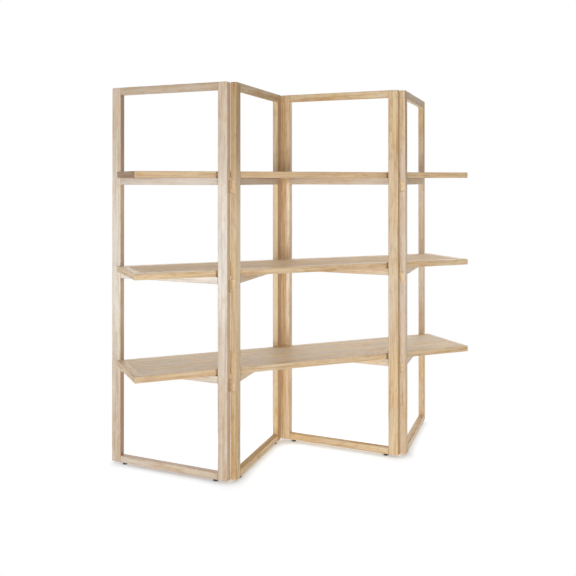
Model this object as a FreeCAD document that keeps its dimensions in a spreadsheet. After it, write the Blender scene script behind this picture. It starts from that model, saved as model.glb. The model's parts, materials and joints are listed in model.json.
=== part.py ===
import FreeCAD, Part
import os
import re

import Sketcher

# A folding etagere: four open frames hinged in a zigzag, with three long shelves
# laid on the frames' shelf rails.  +X runs along the shelves, +Y points to the
# back, +Z up.  The origin lies on the floor, in the middle of the footprint.

# Driving sizes, in millimetres and degrees.
SIZES = {
    "overall_height": 2032,
    "fold_angle": 49.2,
    "panel_width": 723,
    "frame_thickness": 31.75,
    "stile_width": 57,
    "top_rail_height": 40,
    "bottom_rail_height": 37,
    "shelf_rail_height": 38,
    "edge_ease": 1.5,
    "hinge_ease": 0.4,
    "corner_round": 6,
    "tenon_length": 30,
    "tenon_cheek": 9,
    "tenon_shoulder": 6,
    "tenon_fit": 0.1,
    "lower_shelf_top": 569,
    "shelf_pitch": 504,
    "shelf_thickness": 32,
    "shelf_end_inset": 18,
    "shelf_back_clearance": 32.6,
    "shelf_offset": 6,
    "border_width": 45,
    "tongue_length": 8,
    "tongue_thickness": 8,
    "tongue_fit": 0.1,
    "notch_depth": 16.6,
    "notch_clearance": 4,
    "notch_side_clearance": 0.5,
    "hinge_length": 63.5,
    "hinge_drop": 14,
    "knuckle_diameter": 6.2,
    "knuckle_spacing": 0.4,
    "knuckle_clearance": 0.4,
    "leaf_thickness": 2,
    "leaf_margin": 9.5,
    "leaf_gap": 0.4,
    "pin_diameter": 3.4,
    "pin_fit": 0.05,
    "pin_setback": 1,
    "glide_height": 10,
    "glide_diameter": 26,
    "glide_edge": 2,
    "glide_inset": 77,
}

HINGES_PER_JOINT = 3
SHELVES = ("lower", "middle", "upper")

doc = FreeCAD.newDocument("folding_etagere")
sheet = doc.addObject("Spreadsheet::Sheet", "Sizes")
for row, (alias, value) in enumerate(SIZES.items(), start=1):
    sheet.set(f"A{row}", alias)
    sheet.set(f"B{row}", str(value))
    sheet.setAlias(f"B{row}", alias)
doc.recompute()


# Formulas

def formula(text):
    """Write each size's name as its cell in the sheet."""
    return re.sub(r"[a-z_]+", lambda word: f"Sizes.{word[0]}" if word[0] in SIZES else word[0], text)


def number(text):
    """The present value of a formula."""
    return float(sheet.evalExpression(formula(text)))


def bind(target, path, text):
    target.setExpression(path, formula(text))


COS = "cos(fold_angle)"
SIN = "sin(fold_angle)"
HALF_GAP = "(leaf_gap / 2)"

# Knuckles turn in notches that reach this far about the pin.  The pins of the two front joints
# lie in the frames' back faces, those of the middle joint in the front faces.
KNUCKLE_ROOM = "(knuckle_diameter / 2 + knuckle_clearance)"
LEAF_REACH = "(frame_thickness - leaf_margin)"

# Places in plan, measured from the middle joint's pins.
FRONT_PIN_X = f"((panel_width + leaf_gap) * {COS} + frame_thickness * {SIN})"
FRONT_PIN_Y = f"(frame_thickness * {COS} - (panel_width + leaf_gap) * {SIN})"
FRONT_EDGE_Y = f"(edge_ease * {COS} - (panel_width + {HALF_GAP}) * {SIN})"
BACK_EDGE_Y = f"((frame_thickness - edge_ease) * {COS} - {HALF_GAP} * {SIN})"
MIDDLE_PIN_Y = f"(0 - ({FRONT_EDGE_Y} + {BACK_EDGE_Y}) / 2)"
HALF_SPAN = f"({FRONT_PIN_X} + (panel_width + {HALF_GAP}) * {COS} + frame_thickness * {SIN})"

# The shelf's front edge is let in round the front stiles, its back edge passes the back stiles.
FRONT_STILE_Y = f"(frame_thickness * {COS} - (panel_width + {HALF_GAP} - stile_width) * {SIN})"
BACK_STILE_Y = f"(0 - ({HALF_GAP} + stile_width) * {SIN})"
SHELF_FRONT_Y = f"({FRONT_STILE_Y} + notch_clearance - notch_depth)"
SHELF_DEPTH = f"({BACK_STILE_Y} - shelf_back_clearance - {SHELF_FRONT_Y})"
SHELF_LENGTH = f"(2 * ({HALF_SPAN} - shelf_end_inset))"
NOTCH_HALF = f"(({HALF_GAP} + stile_width) * {COS} + frame_thickness * {SIN} + notch_side_clearance)"


def shelf_underside(level):
    return f"(lower_shelf_top + {level} * shelf_pitch - shelf_thickness)"


# Rails by their lower edge and height, and the lower edge of each hinge.
RAILS = {
    "bottom_rail": ("glide_height", "bottom_rail_height"),
    "top_rail": ("(overall_height - top_rail_height)", "top_rail_height"),
}
for level, shelf in enumerate(SHELVES):
    RAILS[f"{shelf}_shelf_rail"] = (f"({shelf_underside(level)} - shelf_rail_height)", "shelf_rail_height")
HINGE_BASES = [f"({shelf_underside(level)} - hinge_drop - hinge_length)" for level in range(HINGES_PER_JOINT)]

# Each end of a frame: where its outer and inner faces lie, and where a pin on it would stand.
END_FACE = {"left": "0", "right": "panel_width"}
INNER_FACE = {"left": "stile_width", "right": "(panel_width - stile_width)"}
PIN_X = {"left": f"(0 - {HALF_GAP})", "right": f"(panel_width + {HALF_GAP})"}
PIN_Y = {"front": "0", "back": "frame_thickness"}

MIDDLE_PIN = ("0", MIDDLE_PIN_Y)
LEFT_PIN = (f"(0 - {FRONT_PIN_X})", f"({MIDDLE_PIN_Y} + {FRONT_PIN_Y})")
RIGHT_PIN = (FRONT_PIN_X, f"({MIDDLE_PIN_Y} + {FRONT_PIN_Y})")


class Panel:
    """One frame of the zigzag: x along it from its left edge, y to its back, z up from the floor."""

    def __init__(self, name, turn, pin, end, face, hinged):
        self.name = name
        self.turn = turn
        self.hinged = hinged
        self.x = f"({pin[0]} - ({self.across(PIN_X[end], PIN_Y[face])}))"
        self.y = f"({pin[1]} - ({self.away(PIN_X[end], PIN_Y[face])}))"

    def across(self, x, y):
        return f"({x}) * {COS} - {self.turn} * ({y}) * {SIN}"

    def away(self, x, y):
        return f"{self.turn} * ({x}) * {SIN} + ({y}) * {COS}"

    def seat(self, body, x="0", y="0", z="0"):
        """Stand a body's own origin at a place of the frame."""
        bind(body, "Placement.Base.x", f"{self.x} + {self.across(x, y)}")
        bind(body, "Placement.Base.y", f"{self.y} + {self.away(x, y)}")
        bind(body, "Placement.Base.z", z)
        bind(body, "Placement.Rotation.Angle", f"{self.turn} * fold_angle")


# The last entry tells on which face each hinged end carries its leaves.
OUTER_LEFT = Panel("outer_left", -1, LEFT_PIN, "right", "back", {"right": "back"})
INNER_LEFT = Panel("inner_left", 1, MIDDLE_PIN, "right", "front", {"left": "back", "right": "front"})
INNER_RIGHT = Panel("inner_right", -1, MIDDLE_PIN, "left", "front", {"left": "front", "right": "back"})
OUTER_RIGHT = Panel("outer_right", 1, RIGHT_PIN, "left", "back", {"left": "back"})
PANELS = (OUTER_LEFT, INNER_LEFT, INNER_RIGHT, OUTER_RIGHT)


# Drawing and solid features

def new_body(label):
    body = doc.addObject("PartDesign::Body", label)
    body.Label = label
    body.AllowCompound = True
    return body


def origin_part(body, role):
    return next(part for part in body.Origin.OriginFeatures if part.Role == role)


def new_sketch(body, plane, height="0"):
    sketch = body.newObject("Sketcher::SketchObject", f"{body.Label}_sketch")
    sketch.AttachmentSupport = [(origin_part(body, plane), "")]
    sketch.MapMode = "FlatFace"
    bind(sketch, "AttachmentOffset.Base.z", height)
    return sketch


def hold(sketch, item, point, x, y):
    """Tie a point of a line or circle to a place given by two formulas."""
    for kind, axis, text in (("DistanceX", -2, x), ("DistanceY", -1, y)):
        if text == "0":
            sketch.addConstraint(Sketcher.Constraint("PointOnObject", item, point, axis))
        else:
            tie = sketch.addConstraint(Sketcher.Constraint(kind, -1, 1, item, point, number(text)))
            bind(sketch, f"Constraints[{tie}]", text)


def outline(sketch, points):
    """A closed outline of straight lines through places given as formulas."""
    places = [FreeCAD.Vector(number(x), number(y), 0) for x, y in points]
    ends = places[1:] + places[:1]
    lines = [sketch.addGeometry(Part.LineSegment(start, end)) for start, end in zip(places, ends)]
    for i, line in enumerate(lines):
        sketch.addConstraint(Sketcher.Constraint("Coincident", lines[i - 1], 2, line, 1))
        hold(sketch, line, 1, *points[i])


def rectangle(sketch, x, y):
    outline(sketch, [(x[0], y[0]), (x[1], y[0]), (x[1], y[1]), (x[0], y[1])])


def circle(sketch, x, y, radius):
    place = FreeCAD.Vector(number(x), number(y), 0)
    ring = sketch.addGeometry(Part.Circle(place, FreeCAD.Vector(0, 0, 1), number(radius)))
    hold(sketch, ring, 3, x, y)
    size = sketch.addConstraint(Sketcher.Constraint("Radius", ring, number(radius)))
    bind(sketch, f"Constraints[{size}]", radius)


def extrude(body, kind, sketch, length, reverse=False):
    feature = body.newObject(f"PartDesign::{kind}", f"{body.Label}_{kind.lower()}")
    feature.Profile = sketch
    feature.Reversed = reverse
    bind(feature, "Length", length)
    doc.recompute()
    return feature


def revolve(body, points):
    """Turn an outline of (radius, height) places about the body's own upright axis."""
    sketch = new_sketch(body, "XZ_Plane")
    outline(sketch, points)
    feature = body.newObject("PartDesign::Revolution", f"{body.Label}_revolution")
    feature.Profile = sketch
    feature.ReferenceAxis = (origin_part(body, "Z_Axis"), [""])
    doc.recompute()


def dress(body, kind, path, size, chosen):
    """Round or ease the edges of a body that the test picks."""
    base = body.Tip
    names = [f"Edge{i}" for i, edge in enumerate(base.Shape.Edges, start=1) if chosen(edge.BoundBox)]
    feature = body.newObject(f"PartDesign::{kind}", f"{body.Label}_{kind.lower()}")
    feature.Base = (base, names)
    bind(feature, path, size)
    doc.recompute()


def repeat(body, axis, spacing, count, features=()):
    """Repeat some features, or the whole body, along one of its axes."""
    pattern = body.newObject("PartDesign::LinearPattern", f"{body.Label}_pattern")
    pattern.TransformMode = "Features" if features else "Whole shape"
    pattern.Originals = list(features)
    pattern.Direction = (origin_part(body, axis), [""])
    pattern.Mode = "Spacing"
    pattern.Occurrences = count
    bind(pattern, "Offset", spacing)
    body.Tip = pattern
    doc.recompute()


def same(first, second):
    return abs(first - second) < Part.Precision.confusion() * 100


# Frame members

def stile(panel, end):
    """An upright with a mortise for each rail and, where it is hinged, beds for the leaves."""
    front_or_back = "front" if (panel.turn == 1) == (end == "left") else "back"
    body = new_body(f"{panel.name}_{front_or_back}_stile")
    panel.seat(body)
    inner, outer = INNER_FACE[end], END_FACE[end]
    from_left = end == "left"

    section = new_sketch(body, "XY_Plane", "glide_height")
    sides = (outer, inner) if from_left else (inner, outer)
    rectangle(section, sides, ("0", "frame_thickness"))
    extrude(body, "Pad", section, "overall_height - glide_height")

    inner_x, outer_x, back_y = number(inner), number(outer), number("frame_thickness")
    upright = lambda box, x: same(box.XMin, x) and same(box.XMax, x)
    in_face = lambda box, y: same(box.YMin, y) and same(box.YMax, y)
    dress(body, "Fillet", "Radius", "corner_round",
          lambda box: same(box.ZLength, 0) and upright(box, outer_x))
    # The middle joint closes on its front arrises, which stay almost square.
    square = panel.hinged.get(end) == "front"
    dress(body, "Chamfer", "Size", "edge_ease",
          lambda box: in_face(box, back_y) or in_face(box, 0) and (not square or upright(box, inner_x)))
    if square:
        dress(body, "Chamfer", "Size", "hinge_ease", lambda box: in_face(box, 0) and upright(box, outer_x))

    mortises = new_sketch(body, "YZ_Plane", inner)
    for base, height in RAILS.values():
        rectangle(mortises,
                  ("tenon_cheek - tenon_fit", "frame_thickness - tenon_cheek + tenon_fit"),
                  (f"{base} + tenon_shoulder - tenon_fit", f"{base} + {height} - tenon_shoulder + tenon_fit"))
    extrude(body, "Pocket", mortises, "tenon_length + tenon_fit", reverse=not from_left)

    if end in panel.hinged:
        leaf_beds(body, end, panel.hinged[end])


def leaf_beds(body, end, face):
    """Let the hinge leaves in flush with a stile's end, with a notch for the knuckles in its face."""
    from_left = end == "left"
    span = ("0", LEAF_REACH) if face == "front" else ("leaf_margin", "frame_thickness")
    beds = new_sketch(body, "YZ_Plane", END_FACE[end])
    for base in HINGE_BASES:
        rectangle(beds, span, (base, f"{base} + hinge_length"))
    extrude(body, "Pocket", beds, "leaf_thickness", reverse=from_left)
    room = new_sketch(body, "XY_Plane", f"{HINGE_BASES[0]} - knuckle_spacing")
    across, away = PIN_X[end], PIN_Y[face]
    rectangle(room, (f"{across} - {KNUCKLE_ROOM}", f"{across} + {KNUCKLE_ROOM}"),
              (f"{away} - {KNUCKLE_ROOM}", f"{away} + {KNUCKLE_ROOM}"))
    cut = extrude(body, "Pocket", room, "hinge_length + 2 * knuckle_spacing", reverse=True)
    repeat(body, "Z_Axis", "shelf_pitch", HINGES_PER_JOINT, [cut])


def rail(panel, kind):
    """A cross rail flush with the stiles, with a tenon at each end."""
    base, height = RAILS[kind]
    body = new_body(f"{panel.name}_{kind}")
    panel.seat(body)
    section = new_sketch(body, "YZ_Plane", "stile_width")
    rectangle(section, ("0", "frame_thickness"), (base, f"{base} + {height}"))
    extrude(body, "Pad", section, "panel_width - 2 * stile_width")
    dress(body, "Chamfer", "Size", "edge_ease", lambda box: not same(box.XLength, 0))
    tenon = new_sketch(body, "YZ_Plane", "stile_width - tenon_length")
    rectangle(tenon, ("tenon_cheek", "frame_thickness - tenon_cheek"),
              (f"{base} + tenon_shoulder", f"{base} + {height} - tenon_shoulder"))
    extrude(body, "Pad", tenon, "panel_width - 2 * stile_width + 2 * tenon_length")


def glides(panel):
    """Two turned feet under the bottom rail."""
    body = new_body(f"{panel.name}_glides")
    panel.seat(body, "glide_inset", "frame_thickness / 2")
    revolve(body, [
        ("0", "0"),
        ("glide_diameter / 2 - glide_edge", "0"),
        ("glide_diameter / 2", "glide_edge"),
        ("glide_diameter / 2", "glide_height"),
        ("0", "glide_height"),
    ])
    repeat(body, "X_Axis", "panel_width - 2 * glide_inset", 2)


# Hinges: loose-joint butts, whose upper leaf lifts off the pin in the lower one

KNUCKLE_LENGTH = "((hinge_length - knuckle_spacing) / 2)"
KNUCKLE_START = {"lower": "0", "upper": "(hinge_length + knuckle_spacing) / 2"}


def leaves(label, panel, end, knuckle):
    """One joint's leaves on one frame: flat plates, each with its knuckle rolled round the pin."""
    pin_x, pin_y = PIN_X[end], PIN_Y[panel.hinged[end]]
    inward = "+" if panel.hinged[end] == "front" else "-"
    plate_x = ("0", "leaf_thickness") if end == "left" else ("panel_width - leaf_thickness", "panel_width")
    plate_y = (f"{pin_y} {inward} {LEAF_REACH}", f"{pin_y} {inward} {KNUCKLE_ROOM}")
    knuckle_base = f"({HINGE_BASES[0]} + {KNUCKLE_START[knuckle]})"
    body = new_body(label)
    panel.seat(body)
    plate = new_sketch(body, "XY_Plane", HINGE_BASES[0])
    rectangle(plate, plate_x, plate_y)
    extrude(body, "Pad", plate, "hinge_length")
    web = new_sketch(body, "XY_Plane", knuckle_base)
    rectangle(web, plate_x, (plate_y[1], pin_y))
    extrude(body, "Pad", web, KNUCKLE_LENGTH)
    barrel = new_sketch(body, "XY_Plane", knuckle_base)
    circle(barrel, pin_x, pin_y, "knuckle_diameter / 2")
    extrude(body, "Pad", barrel, KNUCKLE_LENGTH)
    bore = new_sketch(body, "XY_Plane", knuckle_base)
    circle(bore, pin_x, pin_y, "pin_diameter / 2 + pin_fit")
    extrude(body, "Pocket", bore, KNUCKLE_LENGTH, reverse=True)
    repeat(body, "Z_Axis", "shelf_pitch", HINGES_PER_JOINT)


def pins(label, panel, end):
    """One joint's pins, held by the lower knuckles and standing up into the upper ones."""
    body = new_body(label)
    panel.seat(body, PIN_X[end], PIN_Y[panel.hinged[end]], HINGE_BASES[0])
    section = new_sketch(body, "XY_Plane")
    circle(section, "0", "0", "pin_diameter / 2")
    extrude(body, "Pad", section, "hinge_length - pin_setback")
    repeat(body, "Z_Axis", "shelf_pitch", HINGES_PER_JOINT)


# Shelves

def shelf_piece(shelf, level, kind, points):
    body = new_body(f"{shelf}_shelf_{kind}")
    bind(body, "Placement.Base.x", f"0 - {SHELF_LENGTH} / 2 - shelf_offset")
    bind(body, "Placement.Base.y", f"{MIDDLE_PIN_Y} + {SHELF_FRONT_Y}")
    bind(body, "Placement.Base.z", shelf_underside(level))
    plan = new_sketch(body, "XY_Plane")
    outline(plan, points)
    extrude(body, "Pad", plan, "shelf_thickness")
    return body


def tongue(body, kind, fit):
    """Add the field's tongue to it, or cut its groove, with some room, in a border."""
    edge = f"border_width - tongue_length - {fit}"
    plan = new_sketch(body, "XY_Plane", f"(shelf_thickness - tongue_thickness) / 2 - {fit}")
    rectangle(plan, (edge, f"{SHELF_LENGTH} - ({edge})"), (edge, f"{SHELF_DEPTH} - ({edge})"))
    extrude(body, kind, plan, f"tongue_thickness + 2 * {fit}", reverse=kind == "Pocket")


def shelf_board(shelf, level):
    """A veneered field tongued into a mitred border, notched in front round the two stile pairs."""
    near = "border_width"
    far_x, far_y = SHELF_LENGTH, SHELF_DEPTH
    in_x, in_y = f"{far_x} - border_width", f"{far_y} - border_width"
    front_edge = [("0", "0")]
    for side in ("-", "+"):
        notch = f"{SHELF_LENGTH} / 2 {side} {FRONT_PIN_X}"
        front_edge += [
            (f"{notch} - {NOTCH_HALF}", "0"),
            (f"{notch} - {NOTCH_HALF}", "notch_depth"),
            (f"{notch} + {NOTCH_HALF}", "notch_depth"),
            (f"{notch} + {NOTCH_HALF}", "0"),
        ]
    front_edge += [(far_x, "0")]
    length, depth = number(far_x), number(far_y)
    borders = {
        "front": front_edge + [(in_x, near), (near, near)],
        "back": [(near, in_y), (in_x, in_y), (far_x, far_y), ("0", far_y)],
        "left": [("0", "0"), (near, near), (near, in_y), ("0", far_y)],
        "right": [(far_x, "0"), (far_x, far_y), (in_x, in_y), (in_x, near)],
    }
    on_edge = {
        "front": lambda box: same(box.YMax, 0),
        "back": lambda box: same(box.YMin, depth),
        "left": lambda box: same(box.XMax, 0),
        "right": lambda box: same(box.XMin, length),
    }
    field = shelf_piece(shelf, level, "field", [(near, near), (in_x, near), (in_x, in_y), (near, in_y)])
    tongue(field, "Pad", "0")
    for side, points in borders.items():
        border = shelf_piece(shelf, level, f"{side}_border", points)
        dress(border, "Chamfer", "Size", "edge_ease", lambda box: same(box.ZLength, 0) and on_edge[side](box))
        tongue(border, "Pocket", "tongue_fit")


# Build

for panel in PANELS:
    for end in END_FACE:
        stile(panel, end)
    for kind in RAILS:
        rail(panel, kind)
    glides(panel)

leaves("left_hinge_outer_leaves", OUTER_LEFT, "right", "upper")
leaves("left_hinge_inner_leaves", INNER_LEFT, "left", "lower")
pins("left_hinge_pins", INNER_LEFT, "left")
leaves("middle_hinge_left_leaves", INNER_LEFT, "right", "lower")
leaves("middle_hinge_right_leaves", INNER_RIGHT, "left", "upper")
pins("middle_hinge_pins", INNER_LEFT, "right")
leaves("right_hinge_inner_leaves", INNER_RIGHT, "right", "lower")
leaves("right_hinge_outer_leaves", OUTER_RIGHT, "left", "upper")
pins("right_hinge_pins", INNER_RIGHT, "right")

for level, shelf in enumerate(SHELVES):
    shelf_board(shelf, level)

doc.recompute()


# Checks and files

for item in doc.Objects:
    if "Invalid" in item.State or "Error" in item.State:
        raise ValueError(f"{item.Label} did not build: {item.State}")
    if item.TypeId == "PartDesign::Pocket" and not item.Shape.Volume < item.BaseFeature.Shape.Volume:
        raise ValueError(f"{item.Label} cuts nothing")

os.makedirs("parts", exist_ok=True)
for body in doc.findObjects("PartDesign::Body"):
    if body.Shape.isNull() or not body.Shape.isValid() or not body.Shape.Solids:
        raise ValueError(f"{body.Label} is not a sound solid")
    body.Shape.exportStep(f"parts/{body.Label}.step")
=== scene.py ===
"""Finishes, hinge screws and studio for a folding etagere of four hinged oak frames and three shelves."""

import json
import math
from dataclasses import dataclass

import bmesh
import bpy
from mathutils import Color, Matrix, Vector


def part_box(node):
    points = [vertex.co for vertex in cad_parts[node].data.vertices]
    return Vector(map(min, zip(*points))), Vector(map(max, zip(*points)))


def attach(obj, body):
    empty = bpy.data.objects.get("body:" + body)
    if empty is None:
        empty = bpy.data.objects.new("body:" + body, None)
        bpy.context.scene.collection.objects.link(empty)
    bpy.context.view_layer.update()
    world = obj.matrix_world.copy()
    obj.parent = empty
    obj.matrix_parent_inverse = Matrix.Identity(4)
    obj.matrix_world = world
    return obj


bl_info = {
    "name": "Folding Etagere",
    "version": (1, 0, 0),
    "blender": (4, 5, 0),
    "location": "View3D > Sidebar > Etagere",
    "description": "Oak, brass and studio for a folding etagere",
    "category": "Object",
}

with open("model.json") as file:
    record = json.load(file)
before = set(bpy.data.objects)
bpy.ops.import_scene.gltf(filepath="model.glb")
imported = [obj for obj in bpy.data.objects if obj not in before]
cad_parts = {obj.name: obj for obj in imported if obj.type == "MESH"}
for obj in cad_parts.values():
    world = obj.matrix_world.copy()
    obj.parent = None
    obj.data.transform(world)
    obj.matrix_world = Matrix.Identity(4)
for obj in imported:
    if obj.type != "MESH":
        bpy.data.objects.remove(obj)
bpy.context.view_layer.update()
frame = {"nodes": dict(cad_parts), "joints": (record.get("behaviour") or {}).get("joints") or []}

# How far each frame leans out of the line of the shelves.
FOLD = math.radians(49.2)
RIGHT_ANGLE = math.radians(90.0)

# How each way of cutting a board turns its grain onto the pattern's own X axis.
UPRIGHT = (0.0, RIGHT_ANGLE, 0.0)
FALLING = (0.0, 0.0, FOLD)
RISING = (0.0, 0.0, -FOLD)
SIDEWAYS = (0.0, 0.0, 0.0)
DEPTHWISE = (0.0, 0.0, -RIGHT_ANGLE)

UP = (0.0, 0.0, 1.0)
FORWARD = Vector((0.0, -1.0, 0.0))

FRAMES = {
    "outer_left": FALLING,
    "inner_left": RISING,
    "inner_right": FALLING,
    "outer_right": RISING,
}
FRAME_TONES = {
    "outer_left": "pale",
    "inner_left": "honey",
    "inner_right": "right",
    "outer_right": "right",
}
STILES = ("front", "back")
RAILS = ("top", "bottom", "upper_shelf", "middle_shelf", "lower_shelf")
SHELVES = ("upper_shelf", "middle_shelf", "lower_shelf")

# How far the grain moves on from one frame or shelf to the next, in metres, so that no two look alike.
FRAME_SHIFT = (0.37, 0.21, 0.13)
SHELF_SHIFT = (0.53, 0.19, 0.41)
DARKER_END_SHIFT = (0.2, 0.1, 0.3)


@dataclass(frozen=True)
class Polish:
    """Lowest and highest roughness of a board, and the strength of its gloss."""

    smooth: float
    rough: float
    gloss: float


POLISHED = Polish(0.28, 0.40, 0.7)
SATIN = Polish(0.32, 0.46, 0.5)
RUBBED = Polish(0.40, 0.52, 0.4)
EGGSHELL = Polish(0.52, 0.64, 0.25)
WAXED = Polish(0.55, 0.65, 0.3)
MATT = Polish(0.66, 0.80, 0.25)
DULL = Polish(0.78, 0.92, 0.25)


@dataclass
class Coats:
    """Shares of each coat on one kind of board, the tones of its narrow faces and arrises, and its polish.

    Wash, mist, stain and dusk tell on the broad faces: the mist is a painted sheen at mid height, the dusk
    painted shade on the upper parts, and the stain painted shade. On the narrow ones, side_wash and
    side_painted_sheen multiply the first two, and side and side_painted_shade take the place of the
    others; side is partly the narrow faces' own darker tone and partly painted shade. Stain and side are
    of the side_tone. The rim lays the arris tone, partly painted shade or a painted highlight.
    """

    wash: float
    mist: float = 0.0
    painted_sheen_tone: str = "wash"
    dusk: float = 0.0
    painted_broad_shade: float = 0.0
    side_wash: float = 1.0
    side_painted_sheen: float = 1.0
    side_painted_shade: float = 0.0
    side: float = 0.0
    side_tone: str = "glaze"
    rim: float = 1.0
    rim_tone: str = "glaze"
    polish: Polish = DULL


# The upper shelf rails take the coats named shelf_rail, all other rails those named rail.
# In each entry the mist is a painted sheen and the dusk painted shade. The stain on the inner left back
# stile is painted shade in its corner with the inner right frame, and the side tones are partly painted
# shade.
FRAME_COATS = {
    "outer_left": {
        "back": Coats(
            wash=1.0, mist=0.2, painted_sheen_tone="sanded", side_wash=0.1, side_painted_sheen=4.2, side_painted_shade=0.45,
            side=0.85, side_tone="pale_dark", polish=SATIN,
        ),
        "front": Coats(
            wash=1.0, mist=0.2, side_wash=0.15, side_painted_sheen=0.2, side_painted_shade=0.2,
            side=0.60, side_tone="honey_mid", polish=SATIN,
        ),
        "rail": Coats(
            wash=0.9, mist=0.3, dusk=0.40, side_wash=0.3, side_painted_sheen=0.3, side=0.40, polish=SATIN,
        ),
        "shelf_rail": Coats(wash=0.9, mist=1.0, dusk=1.2, polish=SATIN),
    },
    "inner_left": {
        "back": Coats(
            wash=0.2, mist=0.35, painted_sheen_tone="sanded", dusk=0.15, painted_broad_shade=0.3, side_wash=2.6, side_painted_sheen=4.5,
        ),
        "front": Coats(
            wash=1.0, mist=1.5, painted_sheen_tone="sanded", dusk=1.0, side_wash=0.2, side_painted_sheen=0.23,
            side_painted_shade=0.5, side=0.24,
        ),
        "rail": Coats(wash=0.9, mist=0.7, dusk=0.5, side_wash=0.5, side_painted_sheen=0.4, side=0.24),
        "shelf_rail": Coats(wash=0.9, mist=1.0, dusk=1.2),
    },
    "inner_right": {
        "back": Coats(wash=0.3, polish=POLISHED),
        "front": Coats(wash=0.6, mist=0.3, side_wash=0.2, side_painted_sheen=0.2, side=0.48),
        "rail": Coats(wash=1.0, mist=0.5),
        "shelf_rail": Coats(wash=0.9, mist=1.3, dusk=1.0),
    },
    "outer_right": {
        "back": Coats(wash=0.7, mist=0.8, dusk=0.8),
        "front": Coats(wash=0.6, mist=1.1, dusk=1.6, side_painted_sheen=0.75, rim=0.4, polish=EGGSHELL),
        "rail": Coats(wash=1.2, mist=1.0, dusk=1.3, polish=EGGSHELL),
        "shelf_rail": Coats(wash=0.9, mist=1.0, dusk=1.2),
    },
}
# The strong wash on the shelf fields is partly white wash and partly a painted sheen on their tops; the
# middle shelf's stain is painted shade, for the lesser sheen of its top.
FIELD_COATS = {
    "upper_shelf": Coats(wash=1.6, rim=0.45, polish=EGGSHELL),
    "middle_shelf": Coats(wash=1.2, painted_broad_shade=0.1, rim=0.45, polish=MATT),
    "lower_shelf": Coats(wash=1.6, rim=0.45, polish=EGGSHELL),
}
# The lipping's arrises take a painted highlight.
EDGE_COATS = {
    "upper_shelf": Coats(wash=0.3, side=0.12, rim=0.8, rim_tone="sanded", polish=RUBBED),
    "middle_shelf": Coats(wash=0.4, rim=0.8, rim_tone="sanded", polish=RUBBED),
    "lower_shelf": Coats(wash=0.4, rim=0.8, rim_tone="sanded", polish=RUBBED),
}
DARKER_END_COATS = Coats(wash=0.3, rim=0.4, polish=WAXED)


@dataclass
class LeafSet:
    """One joint's leaves on one frame.

    Lean is the way the frame turns, end says which end of the frame the leaves are let into, and side
    whether they lie in front of the pin or behind it.
    """

    body: str
    joint: str
    lean: int
    end: int
    side: int


LEAVES = {
    "left_hinge_outer_leaves": LeafSet("outer_left_frame", "left_fold", -1, 1, -1),
    "left_hinge_inner_leaves": LeafSet("inner_left_frame", "left_fold", 1, -1, -1),
    "middle_hinge_left_leaves": LeafSet("inner_left_frame", "middle_fold", 1, 1, 1),
    "middle_hinge_right_leaves": LeafSet("inner_right_frame", "middle_fold", -1, -1, 1),
    "right_hinge_inner_leaves": LeafSet("inner_right_frame", "right_fold", -1, 1, -1),
    "right_hinge_outer_leaves": LeafSet("outer_right_frame", "right_fold", 1, -1, -1),
}
PINS = ("left_hinge_pins", "middle_hinge_pins", "right_hinge_pins")

# The hinges follow the shelves up the frames, one leaf of each set under every shelf.
HINGE_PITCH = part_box("upper_shelf_field")[0].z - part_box("middle_shelf_field")[0].z
LEAF_LOW, LEAF_HIGH = (corner.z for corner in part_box("middle_hinge_left_leaves"))
LEAF_HEIGHT = LEAF_HIGH - LEAF_LOW - HINGE_PITCH * (len(SHELVES) - 1)

# Hinge screws: how many to a leaf, and the shape of a head as shares of its own sizes.
SCREWS_PER_LEAF = 3
HEAD_SIDES = 20
HEAD_TOP_SHARE = 0.8
SLOT_LENGTH_SHARE = 1.5
SLOT_LIFT_SHARE = 0.72

# How close two points of a screw lie that are merged, in metres.
MERGE_DISTANCE = 0.000001

# Arrises: how closely the softened normal keeps to the face where the edge tone starts and is full.
ARRIS_SPAN = (0.995, 0.80)
ARRIS_SAMPLES = 4

# Oak: detail and roughness of each noise, and the figure's warp.
FIGURE_NOISE = (2.0, 0.45, 0.25)
STREAK_NOISE = (6.0, 0.62)
PORE_NOISE = (2.0, 0.5)
CLOUD_NOISE = (3.0, 0.55)
BLOTCH_NOISE = (3.0, 0.6)

# Oak: how many growth rings a figure holds, and the share of a ring at which it turns back.
RINGS = 5.0
RING_TURN_SHARE = 0.5

# Oak: the values of a noise, a band or a facing between which each mask goes from least to most.
BAND_SPAN = (0.08, 0.46)
LATE_SPAN = (0.47, 0.68)
PALE_SPAN = (0.50, 0.30)
PORE_SPAN = (0.60, 0.70)
PORE_BAND_SPAN = (0.9, 0.2)
BLOOM_SPAN = (0.36, 0.68)
GLAZE_SPAN = (0.46, 0.72)
CHALK_SPAN = (0.46, 0.28)
BROAD_SPAN = (0.35, 0.85)

# Oak: how strongly each mask tells, and the strength and depth of the relief.
BAND_SHARE = 0.80
LATE_SHARE = 0.62
PALE_SHARE = 0.55
GLAZE_SHARE = 0.34
CHALK_SHARE = 0.5
PORE_SHARE = 0.45
PORE_BAND_SHARE = 0.25
SHEEN_CLEAR_SHARE = 0.7
LATE_ROUGH_SHARE = 0.6
BLOOM_ROUGH_SHARE = 0.4
STREAK_RELIEF_SHARE = 0.30
OAK_RELIEF = (0.22, 0.0004)

# Brass: sizes in metres, noises, mask ends, shares, least and most roughness, and relief.
BRASS_LINES = (0.0006, 0.0006, 0.02)
BRASS_LINES_NOISE = (3.0, 0.5)
BRASS_BLOOM = (0.012, 0.012, 0.018)
BRASS_BLOOM_NOISE = (4.0, 0.6)
BRASS_EDGE = 0.0004
BRASS_BLOOM_SPAN = (0.42, 0.72)
BRASS_EDGE_SHARE = 0.35
BRASS_LINES_SHARE = 0.22
BRASS_BLOOM_SHARE = 0.30
BRASS_ROUGH = (0.48, 0.68)
BRASS_RELIEF = (0.12, 0.0001)

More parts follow.
